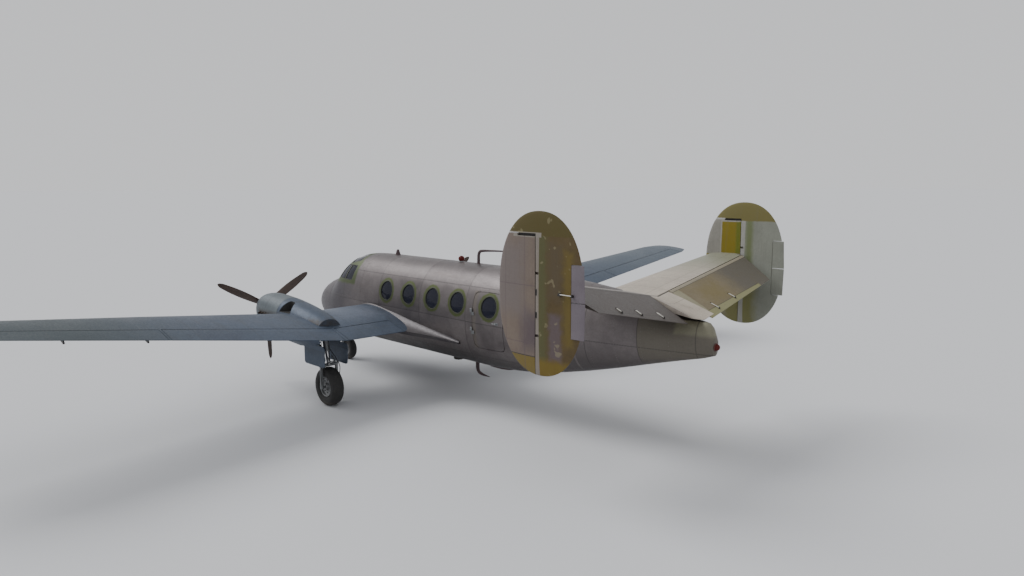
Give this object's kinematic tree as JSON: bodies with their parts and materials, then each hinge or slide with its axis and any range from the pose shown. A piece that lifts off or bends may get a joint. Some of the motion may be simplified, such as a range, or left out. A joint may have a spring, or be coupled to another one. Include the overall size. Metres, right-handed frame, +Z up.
{
  "type": "twin-engine transport aircraft",
  "caption": "Low-wing propeller transport aircraft parked on tricycle gear, with round cabin windows, end-plate fins and hinged control surfaces.",
  "frame": {"origin": "on the ground under the middle of the aircraft's length and span", "axes": "+X towards the nose, +Y towards the left wing tip, +Z up"},
  "size_m": [12.5, 20.69, 4.495],
  "materials": {
    "bare_metal": "satin",
    "nose_paint": "matte",
    "silver_paint": "satin",
    "beige_paint": "matte",
    "primer": "matte",
    "glass": "gloss",
    "lamp_glass": "gloss",
    "dark_paint": "matte",
    "engine_iron": "matte",
    "leg_steel": "satin",
    "tyre_rubber": "matte",
    "rim_alloy": "satin",
    "seat_cloth": "matte"
  },
  "bodies": {
    "airframe": {"nose_cone": "nose_paint", "cockpit_section": "bare_metal", "cabin_side_left": "bare_metal", "cabin_side_right": "bare_metal", "cabin_roof": "bare_metal", "belly": "bare_metal", "tail_section": "bare_metal", "tail_bulkhead": "primer", "tail_lamp": "lamp_glass", "cabin_floor": "primer", "instrument_panel": "dark_paint", "side_pane_left": "glass", "windscreen_left": "glass", "brow_pane_left": "glass", "pilot_seat_left": "seat_cloth", "wing_left": "silver_paint", "nacelle_left": "silver_paint", "cowling_left": "silver_paint", "engine_left": "engine_iron", "main_leg_left": "leg_steel", "fin_left": "beige_paint", "side_pane_right": "glass", "windscreen_right": "glass", "brow_pane_right": "glass", "pilot_seat_right": "seat_cloth", "wing_right": "silver_paint", "nacelle_right": "silver_paint", "cowling_right": "silver_paint", "engine_right": "engine_iron", "main_leg_right": "leg_steel", "fin_right": "beige_paint", "tailplane": "beige_paint", "nose_strut": "leg_steel"},
    "entrance_door": {"entrance_door": "bare_metal"},
    "aileron_left": {"aileron_left": "silver_paint"},
    "flap_inner_left": {"flap_inner_left": "silver_paint"},
    "flap_outer_left": {"flap_outer_left": "silver_paint"},
    "propeller_left": {"propeller_left": "dark_paint"},
    "elevator_left": {"elevator_left": "primer"},
    "rudder_left": {"rudder_left": "primer"},
    "main_wheel_left": {"main_tyre_left": "tyre_rubber", "main_rim_left": "rim_alloy"},
    "aileron_right": {"aileron_right": "silver_paint"},
    "flap_inner_right": {"flap_inner_right": "silver_paint"},
    "flap_outer_right": {"flap_outer_right": "silver_paint"},
    "propeller_right": {"propeller_right": "dark_paint"},
    "elevator_right": {"elevator_right": "primer"},
    "rudder_right": {"rudder_right": "primer"},
    "main_wheel_right": {"main_tyre_right": "tyre_rubber", "main_rim_right": "rim_alloy"},
    "nose_fork": {"nose_fork": "leg_steel"},
    "nose_wheel": {"nose_tyre": "tyre_rubber", "nose_rim": "rim_alloy"}
  },
  "joints": [
    {"name": "propeller_spin_left", "type": "hinge", "parent": "airframe", "child": "propeller_left", "pos_m": [4.6, 2.75, 1.93], "axis": [1, 0, 0], "continuous": true},
    {"name": "main_wheel_spin_left", "type": "hinge", "parent": "airframe", "child": "main_wheel_left", "pos_m": [1.78, 2.75, 0.43], "axis": [0, 1, 0], "continuous": true},
    {"name": "propeller_spin_right", "type": "hinge", "parent": "airframe", "child": "propeller_right", "pos_m": [4.6, -2.75, 1.93], "axis": [1, 0, 0], "continuous": true},
    {"name": "main_wheel_spin_right", "type": "hinge", "parent": "airframe", "child": "main_wheel_right", "pos_m": [1.78, -2.75, 0.43], "axis": [0, 1, 0], "continuous": true},
    {"name": "nose_steering", "type": "hinge", "parent": "airframe", "child": "nose_fork", "pos_m": [5.4, 0, 1.18], "axis": [0, 0, 1], "range_deg": [-45, 45]},
    {"name": "nose_wheel_spin", "type": "hinge", "parent": "nose_fork", "child": "nose_wheel", "pos_m": [5.33, 0, 0.3], "axis": [0, 1, 0], "continuous": true},
    {"name": "entrance_door_hinge", "type": "hinge", "parent": "airframe", "child": "entrance_door", "pos_m": [-0.905, 0.893, 2], "axis": [0, 0, -1], "range_deg": [0, 110]},
    {"name": "aileron_hinge_left", "type": "hinge", "parent": "airframe", "child": "aileron_left", "pos_m": [1.34264, 6.46, 2.20614], "axis": [-0.0455, 0.9889, 0.1415], "range_deg": [-20, 20]},
    {"name": "aileron_hinge_right", "type": "hinge", "parent": "airframe", "child": "aileron_right", "pos_m": [1.34264, -6.46, 2.20614], "axis": [0.0455, 0.9889, -0.1415], "range_deg": [-20, 20]},
    {"name": "flap_inner_hinge_left", "type": "hinge", "parent": "airframe", "child": "flap_inner_left", "pos_m": [1.59229, 1.24, 1.64053], "axis": [0.0312, -0.9994, -0.0142], "range_deg": [0, 40]},
    {"name": "flap_inner_hinge_right", "type": "hinge", "parent": "airframe", "child": "flap_inner_right", "pos_m": [1.59229, -1.24, 1.64053], "axis": [-0.0312, -0.9994, 0.0142], "range_deg": [0, 40]},
    {"name": "flap_outer_hinge_left", "type": "hinge", "parent": "airframe", "child": "flap_outer_left", "pos_m": [1.54273, 2.8, 1.66928], "axis": [0.0487, -0.9882, -0.1452], "range_deg": [0, 40]},
    {"name": "flap_outer_hinge_right", "type": "hinge", "parent": "airframe", "child": "flap_outer_right", "pos_m": [1.54273, -2.8, 1.66928], "axis": [-0.0487, -0.9882, 0.1452], "range_deg": [0, 40]},
    {"name": "elevator_hinge_left", "type": "hinge", "parent": "airframe", "child": "elevator_left", "pos_m": [-5.004, 0.34, 2.84524], "axis": [0, 0.9831, 0.1829], "range_deg": [0, 45]},
    {"name": "elevator_hinge_right", "type": "hinge", "parent": "airframe", "child": "elevator_right", "pos_m": [-5.004, -0.34, 2.84524], "axis": [0, 0.9831, -0.1829], "range_deg": [0, 45]},
    {"name": "rudder_hinge_left", "type": "hinge", "parent": "airframe", "child": "rudder_left", "pos_m": [-4.939, 3.086, 3], "axis": [0, 0, 1], "range_deg": [-25, 25]},
    {"name": "rudder_hinge_right", "type": "hinge", "parent": "airframe", "child": "rudder_right", "pos_m": [-4.939, -3.086, 3], "axis": [0, 0, 1], "range_deg": [-25, 25]}
  ],
  "couplings": [
    {"joint": "aileron_hinge_right", "follows": "aileron_hinge_left", "ratio": -1},
    {"joint": "flap_inner_hinge_left", "follows": "flap_outer_hinge_left", "ratio": 1},
    {"joint": "flap_inner_hinge_right", "follows": "flap_outer_hinge_left", "ratio": 1},
    {"joint": "flap_outer_hinge_right", "follows": "flap_outer_hinge_left", "ratio": 1},
    {"joint": "elevator_hinge_right", "follows": "elevator_hinge_left", "ratio": 1},
    {"joint": "rudder_hinge_right", "follows": "rudder_hinge_left", "ratio": 1}
  ]
}
